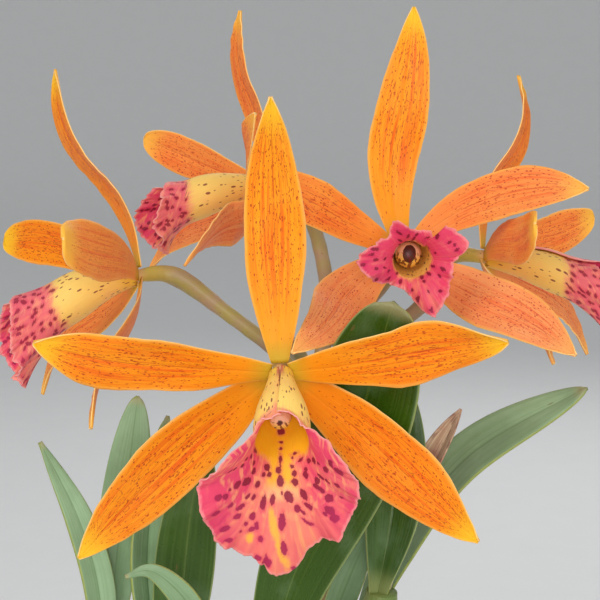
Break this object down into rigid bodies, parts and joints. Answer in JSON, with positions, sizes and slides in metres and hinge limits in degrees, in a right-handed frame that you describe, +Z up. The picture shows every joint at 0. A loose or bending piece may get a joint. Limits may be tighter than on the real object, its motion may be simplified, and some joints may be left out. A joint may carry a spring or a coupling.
{
  "type": "potted cattleya orchid",
  "caption": "Potted cattleya orchid: freckled orange blooms with rose-pink lips on a flower stem, strap leaves on canes, and a round clay pot filled with bark.",
  "frame": {"origin": "middle of the pot's flat underside", "axes": "+Z up; +X to the right and -Y towards the onlooker in the picture, so the front bloom faces -Y"},
  "size_m": [0.1834, 0.1364, 0.3332],
  "materials": {
    "tepals": "satin orange petal with fine dark red freckles",
    "lips": "satin rose-pink with maroon blotches and a yellow throat",
    "stalks": "satin olive and mauve-brown stem",
    "canes": "satin green cane skin",
    "leaves": "leathery green leaf, softly glossy",
    "dry_sheaths": "dry papery sheath",
    "rhizome": "dull, partly dry green-brown skin",
    "bark": "rough broken pine bark",
    "pot": "matt unglazed fired clay"
  },
  "bodies": {
    "root": {"front_bloom_dorsal_sepal": "tepals", "front_bloom_left_sepal": "tepals", "front_bloom_right_sepal": "tepals", "front_bloom_left_petal": "tepals", "front_bloom_right_petal": "tepals", "front_bloom_lip": "lips", "front_bloom_stalk_and_column": "stalks", "top_bloom_dorsal_sepal": "tepals", "top_bloom_left_sepal": "tepals", "top_bloom_right_sepal": "tepals", "top_bloom_left_petal": "tepals", "top_bloom_right_petal": "tepals", "top_bloom_lip": "lips", "top_bloom_stalk_and_column": "stalks", "left_bloom_dorsal_sepal": "tepals", "left_bloom_left_sepal": "tepals", "left_bloom_right_sepal": "tepals", "left_bloom_left_petal": "tepals", "left_bloom_right_petal": "tepals", "left_bloom_lip": "lips", "left_bloom_stalk_and_column": "stalks", "back_bloom_dorsal_sepal": "tepals", "back_bloom_left_sepal": "tepals", "back_bloom_right_sepal": "tepals", "back_bloom_left_petal": "tepals", "back_bloom_right_petal": "tepals", "back_bloom_lip": "lips", "back_bloom_stalk_and_column": "stalks", "right_bloom_dorsal_sepal": "tepals", "right_bloom_left_sepal": "tepals", "right_bloom_right_sepal": "tepals", "right_bloom_left_petal": "tepals", "right_bloom_right_petal": "tepals", "right_bloom_lip": "lips", "right_bloom_stalk_and_column": "stalks", "right_cane": "canes", "centre_cane": "canes", "far_left_cane": "canes", "left_cane": "canes", "young_cane": "canes", "flowering_cane": "canes", "leaf_broad_front": "leaves", "leaf_broad_behind": "leaves", "leaf_far_right": "leaves", "leaf_low_right": "leaves", "leaf_left_tall": "leaves", "leaf_far_left": "leaves", "leaf_left_folded": "leaves", "leaf_left_centre": "leaves", "leaf_small_arching": "leaves", "old_spathe": "dry_sheaths", "flower_sheath": "dry_sheaths", "flower_stem": "stalks", "rhizome": "rhizome", "bark": "bark", "pot": "pot"}
  },
  "joints": []
}
